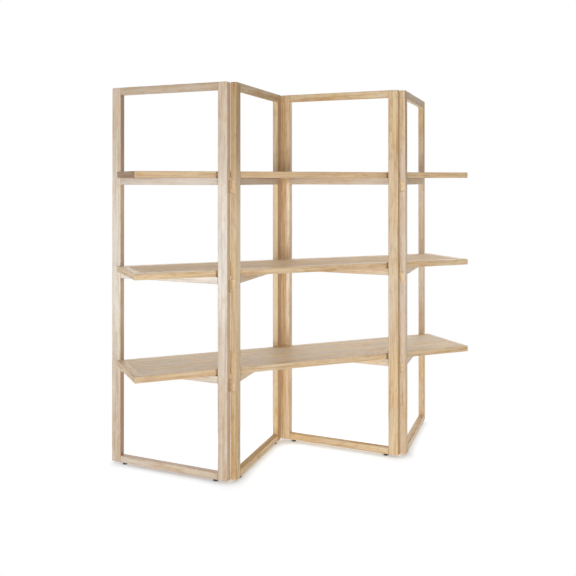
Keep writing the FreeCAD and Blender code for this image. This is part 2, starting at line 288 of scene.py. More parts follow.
# Glide plastic: the same kinds of values.
PLASTIC_GRAIN = (0.0006, 0.0006, 0.0006)
PLASTIC_GRAIN_NOISE = (2.0, 0.5)
PLASTIC_DUST = (0.009, 0.009, 0.004)
PLASTIC_DUST_NOISE = (4.0, 0.6)
PLASTIC_EDGE = 0.0006
PLASTIC_DUST_SPAN = (0.50, 0.82)
PLASTIC_SCUFF_SPAN = (0.3, 0.8)
PLASTIC_EDGE_SHARE = 0.30
PLASTIC_ROUGH = (0.48, 0.66)
PLASTIC_RELIEF = (0.25, 0.0001)

# Floor: half its width and its specks in metres, their noise, mask ends and shares.
FLOOR_HALF = 40.0
FLOOR_SPECK = (0.01, 0.01, 0.01)
FLOOR_SPECK_NOISE = (2.0, 0.5)
FLOOR_SPECK_TONE = (0.86, 0.86, 0.86)
FLOOR_SPECK_SHARE = 0.03
FLOOR_FADE_SPAN = (0.75, 1.15)
# The glow that the camera sees on the floor darkens near the object by ambient occlusion: a painted
# contact shadow.
PAINTED_SHADOW_SPAN = (0.35, 1.0)
PAINTED_SHADOW_SAMPLES = 8

# White as a colour and as a display value, the shortest length of a setting in metres, and the sensor
# in millimetres.
WHITE = (1.0, 1.0, 1.0, 1.0)
DISPLAY_WHITE = 255.0
SHORTEST = 0.00001
SENSOR_WIDTH = 36.0


@dataclass
class SoftBox:
    """Where a studio lamp stands, what it looks at, its width and height, and the setting of its power."""

    place: tuple
    aim: tuple
    size: tuple
    power: str


SOFT_BOXES = {
    "left_soft_box": SoftBox((-6.0, -2.6, 0.7), (0.0, 0.0, 0.8), (3.0, 1.8), "left_power"),
    "front_soft_box": SoftBox((-2.8, -5.8, 1.0), (0.0, 0.0, 0.7), (3.0, 1.8), "front_power"),
    "right_soft_box": SoftBox((3.2, 1.6, 3.4), (0.5, 0.0, 0.6), (2.5, 2.5), "right_power"),
    "back_soft_box": SoftBox((1.7, 4.5, 3.6), (0.0, 0.0, 0.6), (5.0, 3.0), "back_power"),
}
SHEEN_CARD = SoftBox((-4.6, -0.6, 0.62), (-0.3, 0.0, 0.75), (1.8, 1.2), "sheen_power")


def colour(name, description, shade):
    """A colour that a user may change, from a display colour of 0 to 255."""
    linear = Color([value / DISPLAY_WHITE for value in shade]).from_srgb_to_scene_linear()
    return bpy.props.FloatVectorProperty(
        name=name, description=description, default=tuple(linear), subtype="COLOR", min=0.0, max=1.0
    )


def length(name, description, metres):
    """A length that a user may change."""
    return bpy.props.FloatProperty(
        name=name, description=description, default=metres, min=SHORTEST, unit="LENGTH", precision=4
    )


def share(name, description, value):
    """A share from none to all that a user may change."""
    return bpy.props.FloatProperty(
        name=name, description=description, default=value, min=0.0, max=1.0, subtype="FACTOR"
    )


def power(name, description, watts):
    """A lamp's power that a user may change."""
    return bpy.props.FloatProperty(
        name=name, description=description, default=watts, min=0.0, unit="POWER"
    )


class EtagereOak(bpy.types.PropertyGroup):
    """Tones and figure of the oak, and the painted sheen, shade and highlights laid on it."""

    pale_light: colour("Outer Left Light", "Early wood of the outer left frame", (210, 188, 160))
    pale_mid: colour("Outer Left Mid", "Body of the outer left frame", (198, 172, 141))
    pale_dark: colour("Outer Left Dark", "Late wood of the outer left frame", (156, 120, 86))
    honey_light: colour("Inner Left Light", "Early wood of the inner left frame", (224, 198, 154))
    honey_mid: colour("Inner Left Mid", "Body of the inner left frame", (213, 183, 136))
    honey_dark: colour("Inner Left Dark", "Late wood of the inner left frame", (168, 122, 74))
    right_light: colour("Right Frames Light", "Early wood of the two right frames", (229, 202, 160))
    right_mid: colour("Right Frames Mid", "Body of the two right frames", (219, 187, 140))
    right_dark: colour("Right Frames Dark", "Late wood of the two right frames", (178, 127, 76))
    edge_light: colour("Shelf Edge Light", "Early wood of the shelf lipping", (223, 194, 151))
    edge_mid: colour("Shelf Edge Mid", "Body of the shelf lipping", (211, 178, 132))
    edge_dark: colour("Shelf Edge Dark", "Late wood of the shelf lipping", (168, 118, 66))
    field_light: colour("Veneer Light", "Early wood of the shelf veneer", (244, 223, 188))
    field_mid: colour("Veneer Mid", "Body of the shelf veneer", (234, 209, 169))
    field_dark: colour("Veneer Dark", "Late wood of the shelf veneer", (190, 150, 102))
    smoked_light: colour("Darker End Light", "Early wood of the darker shelf end", (165, 132, 100))
    smoked_mid: colour("Darker End Mid", "Body of the darker shelf end", (145, 112, 80))
    smoked_dark: colour("Darker End Dark", "Late wood of the darker shelf end", (115, 86, 58))
    # The wash is partly real white wash and partly the tone of the painted sheen.
    wash: colour("Wash", "White wash left in the grain", (224, 218, 211))
    # The pore colour also paints the shade on the upper parts of the frames.
    pore: colour("Pores", "Open pores of the oak, and the dusk on its upper parts", (126, 96, 66))
    # Besides the real glaze blotches, the glaze paints shade on narrow faces and along the arrises.
    glaze: colour("Glaze", "Brown glaze on the narrow faces and arrises", (166, 112, 58))
    # A painted highlight: the pale tone of the shelf arrises, and of the painted sheen on the left frames.
    sanded: colour("Sanded", "Bare wood on the shelf arrises and in the left mist", (242, 224, 192))
    wash_share: share("Wash Share", "How much white wash stays on the wood", 0.30)
    # The arris tone is partly edge wear and partly painted shade or a painted highlight.
    edge_wear: share("Edge Wear And Light", "How far the arrises take their own tone", 1.0)
    # The mist is a painted sheen that makes the frames paler at mid height.
    mist: share("Painted Sheen", "How much paler the frames are at mid height", 0.50)
    sheen_foot: length("Sheen Foot", "Height at which the frames begin to turn paler", 0.35)
    sheen_full: length("Sheen Full", "Height from which the frames are palest", 0.80)
    sheen_fade: length("Sheen Fade", "Height above which the frames lose their paleness", 1.35)
    sheen_head: length("Sheen Head", "Height at which the paleness ends", 1.95)
    # The dusk is painted shade that darkens the upper parts of the frames.
    dusk: share("Painted Shade", "How much darker the upper parts of the frames are", 0.50)
    shade_foot: length("Shade Foot", "Height at which the frames begin to turn darker", 1.35)
    shade_full: length("Shade Full", "Height from which the frames are darkest", 1.75)
    figure_width: length("Figure Width", "Width of a growth figure across the board", 0.060)
    figure_length: length("Figure Length", "Length of a growth figure along the board", 1.10)
    streak_width: length("Streak Width", "Width of a streak across the board", 0.009)
    streak_length: length("Streak Length", "Length of a streak along the board", 0.32)
    pore_width: length("Pore Width", "Width of an open pore", 0.0011)
    pore_length: length("Pore Length", "Length of an open pore", 0.024)
    cloud_width: length("Cloud Width", "Width of a paler cloud in the wash", 0.070)
    cloud_length: length("Cloud Length", "Length of a paler cloud in the wash", 0.22)
    blotch_width: length("Blotch Width", "Width of a blotch in the glaze", 0.018)
    blotch_length: length("Blotch Length", "Length of a blotch in the glaze", 0.055)
    edge_round: length("Edge Softness", "Radius of the sanded arrises", 0.0045)


class EtagereHardware(bpy.types.PropertyGroup):
    """Hinge brass, its screws and the glides."""

    brass: colour("Brass", "Satin brass of the hinges", (198, 176, 146))
    tarnish: colour("Tarnish", "Darker bloom on the brass", (181, 158, 127))
    plastic: colour("Glide Plastic", "Moulded plastic of the glides", (34, 31, 29))
    plastic_dust: colour("Glide Dust", "Dust and scuffs on the glides", (70, 66, 62))
    screw_diameter: length("Screw Diameter", "Across the head of a hinge screw", 0.0056)
    screw_height: length("Screw Height", "How far a screw head stands proud of its leaf", 0.00025)
    screw_slot: length("Screw Slot", "Width of the driver slot", 0.0009)
    screw_spacing: length("Screw Spacing", "From one screw to the next in a leaf", 0.0215)
    screw_stagger: length("Screw Stagger", "How far the middle screw is set out of line", 0.0046)
    leaf_middle: length("Leaf Middle", "From the pin to the middle of a leaf", 0.012875)
    leaf_gap: length("Leaf Gap", "From the pin to a leaf's open face", 0.0002)
    leaf_height: length("Leaf Height", "Height of one hinge leaf", LEAF_HEIGHT)
    hinge_pitch: length("Hinge Pitch", "From one hinge to the one above", HINGE_PITCH)
    screw_seed: bpy.props.IntProperty(
        name="Screw Seed", description="Fixes how the driver slots are turned", default=7, min=0
    )


class EtagereStage(bpy.types.PropertyGroup):
    """Camera, floor and studio light."""

    camera_place: bpy.props.FloatVectorProperty(
        name="Camera Place", description="Where the camera stands",
        default=(-1.88119, -4.25976, 1.53035), unit="LENGTH", precision=4,
    )
    camera_turn: bpy.props.FloatVectorProperty(
        name="Camera Turn", description="How the camera is turned", subtype="EULER", unit="ROTATION",
        default=(math.radians(90.2966), 0.0, math.radians(-23.367)),
    )
    camera_lens: bpy.props.FloatProperty(
        name="Camera Lens", description="Focal length on a 36 mm sensor", default=51.814, min=1.0,
        unit="CAMERA",
    )
    camera_shift: bpy.props.FloatVectorProperty(
        name="Camera Shift", description="Shift of the picture", size=2, default=(-0.00765, -0.19414)
    )
    floor_colour: colour("Floor", "Colour of the studio floor", (229, 239, 252))
    floor_glow: share("Floor Glow", "White that the camera sees on the floor beside its light", 0.63)
    # A painted contact shadow: how dark the floor's glow gets under the object, and how far it reaches.
    floor_painted_shadow: share("Floor Contact", "How dark the floor gets right under the object", 0.68)
    painted_shadow_reach: length("Contact Reach", "How far the dark strip under the object goes", 0.14)
    floor_bounce: share("Floor Bounce", "White that the floor throws up at the object", 0.48)
    floor_reach: bpy.props.FloatVectorProperty(
        name="Floor Reach", description="Where the floor fades into the white background",
        default=(1.20, 0.56, 1.0), unit="LENGTH",
    )
    dome: share("Dome", "Strength of the soft light from all round", 0.30)
    left_power: power("Left Power", "Broad soft box on the left", 48.0)
    sheen_power: power("Sheen Power", "Card on the left that only the boards' sheen shows", 70.0)
    sheen_tint: colour("Sheen Tint", "Colour of the card that the boards' sheen shows", (196, 235, 255))
    front_power: power("Front Power", "Soft box beside the camera", 141.0)
    right_power: power("Right Power", "Soft box above on the right", 34.0)
    back_power: power("Back Power", "Soft box above and behind", 80.0)


class NodeBench:
    """Adds nodes to a tree and wires them up."""

    def __init__(self, tree):
        self.tree = tree

    def add(self, kind, inputs=None, **settings):
        """A node with its settings, its inputs wired or set."""
        node = self.tree.nodes.new(kind)
        for key, value in settings.items():
            setattr(node, key, value)
        for key, value in (inputs or {}).items():
            self.wire(node.inputs[key], value)
        return node

    def wire(self, socket, value):
        """Links another node's output to a socket, or sets the socket's own value."""
        if isinstance(value, bpy.types.NodeSocket):
            self.tree.links.new(value, socket)
        else:
            socket.default_value = value

    def math(self, operation, first, second=0.0):
        """The result of one or two values, by the named operation."""
        return self.add("ShaderNodeMath", {0: first, 1: second}, operation=operation).outputs[0]

    def vector(self, x=0.0, y=0.0, z=0.0):
        """Three values as one vector."""
        return self.add("ShaderNodeCombineXYZ", {0: x, 1: y, 2: z}).outputs[0]

    def spread(self, value, low, high, first=0.0, last=1.0):
        """A value that goes softly from first to last while another goes from low to high."""
        inputs = {"Value": value, "From Min": low, "From Max": high, "To Min": first, "To Max": last}
        return self.add("ShaderNodeMapRange", inputs, interpolation_type="SMOOTHSTEP").outputs[0]

    def mix(self, part, first, second):
        """The first colour, with part of it replaced by the second."""
        inputs = {0: part, 6: opaque(first), 7: opaque(second)}
        return self.add("ShaderNodeMix", inputs, data_type="RGBA").outputs[2]

    def noise(self, place, size, detail, rough, warp=0.0):
        """Noise whose features have that length, width and thickness."""
        scale = tuple(1.0 / side for side in size)
        scaled = self.add("ShaderNodeVectorMath", {0: place, 1: scale}, operation="MULTIPLY")
        inputs = {
            "Vector": scaled.outputs[0], "Scale": 1.0, "Detail": detail, "Roughness": rough,
            "Distortion": warp,
        }
        return self.add("ShaderNodeTexNoise", inputs, noise_dimensions="3D").outputs[0]

    def bump(self, height, normal, relief):
        """A normal roughened by a height, with the relief's strength and depth."""
        strength, depth = relief
        inputs = {"Strength": strength, "Distance": depth, "Height": height, "Normal": normal}
        return self.add("ShaderNodeBump", inputs).outputs[0]

    def seen(self):
        """One where the camera, a mirror or glass looks at the background, and none for other light."""
        path = self.add("ShaderNodeLightPath").outputs
        mirrored = self.math("MAXIMUM", path["Is Glossy Ray"], path["Is Transmission Ray"])
        return self.math("MAXIMUM", path["Is Camera Ray"], mirrored)


def opaque(value):
    """A colour with its alpha; sockets go through."""
    if isinstance(value, bpy.types.NodeSocket):
        return value
    return (*tuple(value)[:3], 1.0)


def new_material(name):
    """An empty material, and the bench that fills it."""
    finish = bpy.data.materials.new(name)
    finish.use_nodes = True
    finish.node_tree.nodes.clear()
    return finish, NodeBench(finish.node_tree)


def new_finish(name):
    """A material with its shader, and the bench that fills it."""
    finish, bench = new_material(name)
    shader = bench.add("ShaderNodeBsdfPrincipled")
    bench.add("ShaderNodeOutputMaterial", {"Surface": shader.outputs[0]})
    return finish, bench, shader


def surface(bench, shader, tone, rough, normal):
    """Wires a finish's tone, roughness and normal into its shader."""
    bench.wire(shader.inputs["Base Color"], tone)
    bench.wire(shader.inputs["Roughness"], rough)
    bench.wire(shader.inputs["Normal"], normal)


def arris(bench, radius):
    """The softened normal at a board's edges, and how near an edge is."""
    soft = bench.add("ShaderNodeBevel", {"Radius": radius}, samples=ARRIS_SAMPLES).outputs[0]
    plain = bench.add("ShaderNodeNewGeometry").outputs["Normal"]
    level = bench.add("ShaderNodeVectorMath", {0: soft, 1: plain}, operation="DOT_PRODUCT")
    return soft, bench.spread(level.outputs["Value"], *ARRIS_SPAN)


@dataclass
class Grain:
    """Masks of one board's figure, as the sockets that carry them."""

    band: bpy.types.NodeSocket
    streak: bpy.types.NodeSocket
    late: bpy.types.NodeSocket
    pale: bpy.types.NodeSocket
    pores: bpy.types.NodeSocket
    bloom: bpy.types.NodeSocket
    blotch: bpy.types.NodeSocket


def oak_grain(bench, board, oak):
    """Growth figure, streaks, pores, clouds and blotches along a board."""
    figure = bench.noise(board, (oak.figure_length, oak.figure_width, oak.figure_width), *FIGURE_NOISE)
    streak = bench.noise(board, (oak.streak_length, oak.streak_width, oak.streak_width), *STREAK_NOISE)
    pore = bench.noise(board, (oak.pore_length, oak.pore_width, oak.pore_width), *PORE_NOISE)
    cloud = bench.noise(board, (oak.cloud_length, oak.cloud_width, oak.cloud_width), *CLOUD_NOISE)
    blotch = bench.noise(board, (oak.blotch_length, oak.blotch_width, oak.blotch_width), *BLOTCH_NOISE)
    rings = bench.math("PINGPONG", bench.math("MULTIPLY", figure, RINGS), RING_TURN_SHARE)
    band = bench.spread(rings, *BAND_SPAN)
    open_band = bench.spread(band, *PORE_BAND_SPAN, PORE_BAND_SHARE)
    return Grain(
        band=band,
        streak=streak,
        late=bench.spread(streak, *LATE_SPAN),
        pale=bench.spread(streak, *PALE_SPAN),
        pores=bench.math("MULTIPLY", bench.spread(pore, *PORE_SPAN), open_band),
        bloom=bench.spread(cloud, *BLOOM_SPAN),
        blotch=blotch,
    )


def figured_tone(bench, grain, tones, oak):
    """Bare oak: early wood, growth bands, late streaks and blotches of glaze."""
    light, mid, dark = tones
    tone = bench.mix(bench.math("MULTIPLY", grain.band, BAND_SHARE), light, mid)
    tone = bench.mix(bench.math("MULTIPLY", grain.late, LATE_SHARE), tone, dark)
    tone = bench.mix(bench.math("MULTIPLY", grain.pale, PALE_SHARE), tone, light)
    return bench.mix(bench.spread(grain.blotch, *GLAZE_SPAN, 0.0, GLAZE_SHARE), tone, oak.glaze)


def by_face(bench, broad, narrow_value, broad_value):
    """One value on a board's narrow faces and another on its broad ones."""
    return bench.spread(broad, 0.0, 1.0, narrow_value, broad_value)


def coated_tone(bench, tone, grain, broad, height, oak, coats):
    """Wash, side tone and stain (partly painted shade), painted sheen, pores and painted shade over bare
    oak, in this order.
    """
    wash, mist = coats.wash * oak.wash_share, coats.mist * oak.mist

    chalk = bench.math("ADD", grain.bloom, bench.spread(grain.blotch, *CHALK_SPAN, 0.0, CHALK_SHARE))
    washed = bench.math("MULTIPLY", chalk, by_face(bench, broad, wash * coats.side_wash, wash))
    tone = bench.mix(washed, tone, oak.wash)

    # Narrow faces take the side tone, partly their own darker tone and partly painted shade; broad faces
    # take the stain, which is painted shade.
    side_tone_share = by_face(bench, broad, coats.side, coats.painted_broad_shade)
    tone = bench.mix(side_tone_share, tone, getattr(oak, coats.side_tone))

    # Painted sheen: the board turns paler at mid height, patchy with the clouds.
    rising = bench.spread(height, oak.sheen_foot, oak.sheen_full)
    falling = bench.spread(height, oak.sheen_head, oak.sheen_fade)
    middle = bench.math("MULTIPLY", rising, falling)
    painted_sheen_share = bench.math("MULTIPLY", middle, by_face(bench, broad, mist * coats.side_painted_sheen, mist))
    clouded = bench.math("MULTIPLY", painted_sheen_share, bench.spread(grain.bloom, 0.0, 1.0, SHEEN_CLEAR_SHARE, 1.0))
    tone = bench.mix(clouded, tone, getattr(oak, coats.painted_sheen_tone))

    tone = bench.mix(bench.math("MULTIPLY", grain.pores, PORE_SHARE), tone, oak.pore)

    # Painted shade: the upper parts darken towards the pore colour.
    upper = bench.spread(height, oak.shade_foot, oak.shade_full, 0.0, oak.dusk)
    painted_shade_share = bench.math("MULTIPLY", upper, by_face(bench, broad, coats.side_painted_shade, coats.dusk))
    return bench.mix(painted_shade_share, tone, oak.pore)


def oak_finish(name, tones, cut, shift, oak, coats):
    """Oak with its figure, its coats and softened arrises in a tone of their own, partly wear and partly
    painted shade or highlight, for boards cut one way.
    """
    turn, wide = cut
    polish = coats.polish
    finish, bench, shader = new_finish(name)
    here = bench.add("ShaderNodeTexCoord").outputs
    board = bench.add(
        "ShaderNodeMapping", {"Vector": here["Object"], "Rotation": turn, "Location": shift}
    ).outputs["Vector"]
    facing = bench.add("ShaderNodeVectorMath", {0: here["Normal"], 1: wide}, operation="DOT_PRODUCT")
    broad = bench.spread(bench.math("ABSOLUTE", facing.outputs["Value"]), *BROAD_SPAN)
    height = bench.add("ShaderNodeSeparateXYZ", {0: here["Object"]}).outputs["Z"]

    grain = oak_grain(bench, board, oak)
    tone = figured_tone(bench, grain, tones, oak)
    tone = coated_tone(bench, tone, grain, broad, height, oak, coats)
    soft, edge = arris(bench, oak.edge_round)
    # The arrises take their own tone: partly wear, partly painted shade along the edges or a painted
    # highlight.
    edge_wear_and_light_mask = bench.math("MULTIPLY", edge, coats.rim * oak.edge_wear)
    tone = bench.mix(edge_wear_and_light_mask, tone, getattr(oak, coats.rim_tone))

    late_rough = bench.math("MULTIPLY", grain.late, LATE_ROUGH_SHARE)
    uneven = bench.math("ADD", late_rough, bench.math("MULTIPLY", grain.bloom, BLOOM_ROUGH_SHARE))
    rough = bench.spread(uneven, 0.0, LATE_ROUGH_SHARE + BLOOM_ROUGH_SHARE, polish.smooth, polish.rough)
    ridges = bench.math("MULTIPLY", grain.streak, STREAK_RELIEF_SHARE)
    relief = bench.math("SUBTRACT", ridges, grain.pores)
    shader.inputs["Specular IOR Level"].default_value = polish.gloss
    surface(bench, shader, tone, rough, bench.bump(relief, soft, OAK_RELIEF))
    return finish


def brass_finish(name, hardware):
    """Satin brass, drawn upright, with a darker bloom."""
    finish, bench, shader = new_finish(name)
    place = bench.add("ShaderNodeTexCoord").outputs["Object"]
    drawn = bench.noise(place, BRASS_LINES, *BRASS_LINES_NOISE)
    bloom = bench.noise(place, BRASS_BLOOM, *BRASS_BLOOM_NOISE)
    soft, edge = arris(bench, BRASS_EDGE)
    tone = bench.mix(bench.spread(bloom, *BRASS_BLOOM_SPAN), hardware.brass, hardware.tarnish)
    tone = bench.mix(bench.math("MULTIPLY", edge, BRASS_EDGE_SHARE), tone, hardware.brass)
    lines_rough = bench.math("MULTIPLY", drawn, BRASS_LINES_SHARE)
    uneven = bench.math("ADD", lines_rough, bench.math("MULTIPLY", bloom, BRASS_BLOOM_SHARE))
    rough = bench.spread(uneven, 0.0, BRASS_LINES_SHARE + BRASS_BLOOM_SHARE, *BRASS_ROUGH)
    shader.inputs["Metallic"].default_value = 1.0
    surface(bench, shader, tone, rough, bench.bump(drawn, soft, BRASS_RELIEF))
    return finish


def glide_finish(name, hardware):
    """Moulded plastic with a fine spark texture, scuffed and dusty."""
    finish, bench, shader = new_finish(name)
    place = bench.add("ShaderNodeTexCoord").outputs["Object"]
    grain = bench.noise(place, PLASTIC_GRAIN, *PLASTIC_GRAIN_NOISE)
    dust = bench.noise(place, PLASTIC_DUST, *PLASTIC_DUST_NOISE)
    soft, edge = arris(bench, PLASTIC_EDGE)
    tone = bench.mix(bench.spread(dust, *PLASTIC_DUST_SPAN), hardware.plastic, hardware.plastic_dust)
    tone = bench.mix(bench.math("MULTIPLY", edge, PLASTIC_EDGE_SHARE), tone, hardware.plastic_dust)
    rough = bench.spread(dust, *PLASTIC_SCUFF_SPAN, *PLASTIC_ROUGH)
    surface(bench, shader, tone, rough, bench.bump(grain, soft, PLASTIC_RELIEF))
    return finish


def put(name, data):
    """A new object in the scene that shows a mesh, a lamp or a camera."""
    thing = bpy.data.objects.new(name, data)
    bpy.context.scene.collection.objects.link(thing)
    return thing


def dress(node, finish):
    """Gives a CAD node its finish."""
    piece = frame["nodes"][node]
    if not piece.material_slots:
        raise RuntimeError(f"{node} has no material slot to finish")
    for slot in piece.material_slots:
        slot.material = finish


def oak_tones(oak, family):
    """Early wood, body and late wood of one family of boards."""
    return tuple(getattr(oak, f"{family}_{depth}") for depth in ("light", "mid", "dark"))


def moved_on(step, number):
    """How far the grain has moved on after a number of frames or shelves."""
    return tuple(way * number for way in step)


def frame_oak(side, member, turn, coats, oak):
    """Oak for one kind of member of a frame, whose broad faces look to the frame's front and back."""
    front = tuple(Matrix.Rotation(-FRAMES[side][2], 3, "Z") @ FORWARD)
    shift = moved_on(FRAME_SHIFT, list(FRAMES).index(side))
    tones = oak_tones(oak, FRAME_TONES[side])
    return oak_finish(f"{side}_{member}_oak", tones, (turn, front), shift, oak, coats)


class EtagereFramesOperator(bpy.types.Operator):
    """Finishes the stiles and rails of the four frames"""

    bl_idname = "etagere.frames"
    bl_label = "Frames"

    def execute(self, context):
        oak = context.scene.etagere_oak
        for side, lean in FRAMES.items():
            coats = FRAME_COATS[side]
            for end in STILES:
                dress(f"{side}_{end}_stile", frame_oak(side, f"{end}_stile", UPRIGHT, coats[end], oak))
            plain = frame_oak(side, "rail", lean, coats["rail"], oak)
            upper = frame_oak(side, "shelf_rail", lean, coats["shelf_rail"], oak)
            for rail in RAILS:
                dress(f"{side}_{rail}_rail", upper if rail == "upper_shelf" else plain)
        return {"FINISHED"}


class EtagereShelvesOperator(bpy.types.Operator):
    """Finishes the veneered fields and the mitred lipping of the shelves"""

    bl_idname = "etagere.shelves"
    bl_label = "Shelves"

    def execute(self, context):
        oak = context.scene.etagere_oak
        field, edge, smoked = (oak_tones(oak, family) for family in ("field", "edge", "smoked"))
        along, across = (SIDEWAYS, UP), (DEPTHWISE, UP)
        for number, shelf in enumerate(SHELVES):
            shift = moved_on(SHELF_SHIFT, number)
            coats = EDGE_COATS[shelf]
            veneer = oak_finish(f"{shelf}_veneer", field, along, shift, oak, FIELD_COATS[shelf])
            long_edge = oak_finish(f"{shelf}_long_edge", edge, along, shift[::-1], oak, coats)
            short_edge = oak_finish(f"{shelf}_short_edge", edge, across, shift, oak, coats)
            dress(f"{shelf}_field", veneer)
            for side in ("front", "back"):
                dress(f"{shelf}_{side}_border", long_edge)
            for side in ("left", "right"):
                dress(f"{shelf}_{side}_border", short_edge)
        # One short edge alone, the upper shelf's left end, is darker.
        dark_end = oak_finish("smoked_shelf_end", smoked, across, DARKER_END_SHIFT, oak, DARKER_END_COATS)
        dress("upper_shelf_left_border", dark_end)
        return {"FINISHED"}


class EtagereHingesOperator(bpy.types.Operator):
    """Finishes the hinge leaves and pins"""

    bl_idname = "etagere.hinges"
    bl_label = "Hinges"

    def execute(self, context):
        brass = brass_finish("satin_brass", context.scene.etagere_hardware)
        for node in (*LEAVES, *PINS):
            dress(node, brass)
        return {"FINISHED"}


def leaf_seats(body, hardware):
    """Middle, outward direction and stagger side of every leaf face that rides on a body."""
    pins = {joint["name"]: Vector(joint["pos_m"]) for joint in frame["joints"]}
    seats = []
    for node, leaves in LEAVES.items():
        if leaves.body != body:
            continue
        turn = Matrix.Rotation(leaves.lean * FOLD, 3, "Z")
        outward = turn @ Vector((leaves.end, 0.0, 0.0))
        inward = turn @ Vector((0.0, leaves.side, 0.0))
        pin = pins[leaves.joint] - outward * hardware.leaf_gap + inward * hardware.leaf_middle
        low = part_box(node)[0].z + hardware.leaf_height / 2
        for number in range(len(SHELVES)):
            middle = pin + Vector((0.0, 0.0, low + number * hardware.hinge_pitch))
            seats.append((middle, outward, leaves.end * leaves.side))
    return seats


def screw_head(bench, given):
    """A low countersunk head with a driver slot across it."""
    radius = bench.math("DIVIDE", given["Diameter"], 2.0)
    head = bench.add("GeometryNodeMeshCone", {
        "Vertices": HEAD_SIDES,
        "Radius Bottom": radius,
        "Radius Top": bench.math("MULTIPLY", radius, HEAD_TOP_SHARE),
        "Depth": given["Height"],
    })
    slot_length = bench.math("MULTIPLY", given["Diameter"], SLOT_LENGTH_SHARE)
    slot_size = bench.vector(slot_length, given["Slot"], given["Height"])
    cutter = bench.add("GeometryNodeMeshCube", {"Size": slot_size})
    lift = bench.vector(z=bench.math("MULTIPLY", given["Height"], SLOT_LIFT_SHARE))
    raised = bench.add("GeometryNodeTransform", {"Geometry": cutter.outputs[0], "Translation": lift})
    return bench.add("GeometryNodeMeshBoolean", {0: head.outputs[0], 1: raised.outputs[0]}).outputs[0]


def screw_row(bench, given):
    """The places of a leaf's screws, one above the other, the middle one set out of line."""
    middle_number = (SCREWS_PER_LEAF - 1) / 2
    row = bench.add("GeometryNodeMeshLine", {
        "Count": SCREWS_PER_LEAF,
        "Start Location": bench.vector(bench.math("MULTIPLY", given["Spacing"], -middle_number)),
        "Offset": bench.vector(given["Spacing"]),
    })
    number = bench.add("GeometryNodeInputIndex").outputs[0]
    in_middle = bench.math("COMPARE", number, middle_number)
    aside = bench.vector(y=bench.math("MULTIPLY", in_middle, given["Stagger"]))
    staggered = bench.add("GeometryNodeSetPosition", {"Geometry": row.outputs[0], "Offset": aside})
    return staggered.outputs[0]


def outward_turn(bench):
    """The turn that brings an upright axis onto the outward direction that each point holds."""
    facing = bench.add("GeometryNodeInputNamedAttribute", {"Name": "outward"}, data_type="FLOAT_VECTOR")
    turn = bench.add("FunctionNodeAlignRotationToVector", {"Vector": facing.outputs[0]}, axis="Z")
    return turn.outputs[0]


def screw_points(bench, given):
    """A point for every screw: the row of places, stood upright on each leaf and mirrored by its side."""
    upright = bench.add(
        "FunctionNodeAlignRotationToVector", {"Rotation": outward_turn(bench), "Vector": UP},
        axis="X", pivot_axis="Z",
    )
    side = bench.add("GeometryNodeInputNamedAttribute", {"Name": "side"}, data_type="FLOAT")
    rows = bench.add("GeometryNodeInstanceOnPoints", {
        "Points": given["Leaf Points"],
        "Instance": screw_row(bench, given),
        "Rotation": upright.outputs[0],
        "Scale": bench.vector(1.0, side.outputs[0], 1.0),
    })
    return bench.add("GeometryNodeRealizeInstances", {"Geometry": rows.outputs[0]}).outputs[0]


def driven_turn(bench, given):
    """Each screw's own turn: square to its leaf, with the slot at a chance angle."""
    chance = bench.add(
        "FunctionNodeRandomValue", {"Max": (0.0, 0.0, math.pi), "Seed": given["Seed"]},
        data_type="FLOAT_VECTOR",
    )
    spin = bench.add("FunctionNodeEulerToRotation", {0: chance.outputs[0]})
    turn = bench.add(
        "FunctionNodeRotateRotation", {"Rotation": outward_turn(bench), "Rotate By": spin.outputs[0]},
        rotation_space="LOCAL",
    )
    return turn.outputs[0]


def screw_tree(finish):
    """Node tree that sets a row of slotted countersunk heads on every point it is given."""
    tree = bpy.data.node_groups.new("hinge_screws", "GeometryNodeTree")
    face = tree.interface
    face.new_socket("Leaf Points", in_out="INPUT", socket_type="NodeSocketGeometry")
    for label in ("Diameter", "Height", "Slot", "Spacing", "Stagger"):
        face.new_socket(label, in_out="INPUT", socket_type="NodeSocketFloat")
    face.new_socket("Seed", in_out="INPUT", socket_type="NodeSocketInt")
    face.new_socket("Screws", in_out="OUTPUT", socket_type="NodeSocketGeometry")
    bench = NodeBench(tree)
    given = bench.add("NodeGroupInput").outputs
    heads = bench.add("GeometryNodeInstanceOnPoints", {
        "Points": screw_points(bench, given),
        "Instance": screw_head(bench, given),
        "Rotation": driven_turn(bench, given),
    })
    real = bench.add("GeometryNodeRealizeInstances", {"Geometry": heads.outputs[0]})
    painted = bench.add("GeometryNodeSetMaterial", {"Geometry": real.outputs[0], "Material": finish})
    bench.add("NodeGroupOutput", {0: painted.outputs[0]})
    return tree


def leaf_points(name, seats):
    """A carrier with one point for each leaf, which holds the leaf's outward direction and side."""
    mesh = bpy.data.meshes.new(name)
    mesh.from_pydata([seat[0] for seat in seats], [], [])
    facing = mesh.attributes.new("outward", "FLOAT_VECTOR", "POINT")
    facing.data.foreach_set("vector", [value for seat in seats for value in seat[1]])
    hand = mesh.attributes.new("side", "FLOAT", "POINT")
    hand.data.foreach_set("value", [float(seat[2]) for seat in seats])
    return put(name, mesh)


def bake(name, carrier):
    """The evaluated carrier as a plain mesh object, closed and facing out; the carrier goes."""
    graph = bpy.context.evaluated_depsgraph_get()
    mesh = bpy.data.meshes.new_from_object(carrier.evaluated_get(graph))
    mesh.name = name
    spare = carrier.data
    bpy.data.objects.remove(carrier)
    bpy.data.meshes.remove(spare)
    shaped = bmesh.new()
    shaped.from_mesh(mesh)
    bmesh.ops.remove_doubles(shaped, verts=shaped.verts, dist=MERGE_DISTANCE)
    bmesh.ops.recalc_face_normals(shaped, faces=shaped.faces)
    shaped.to_mesh(mesh)
    shaped.free()
    return put(name, mesh)


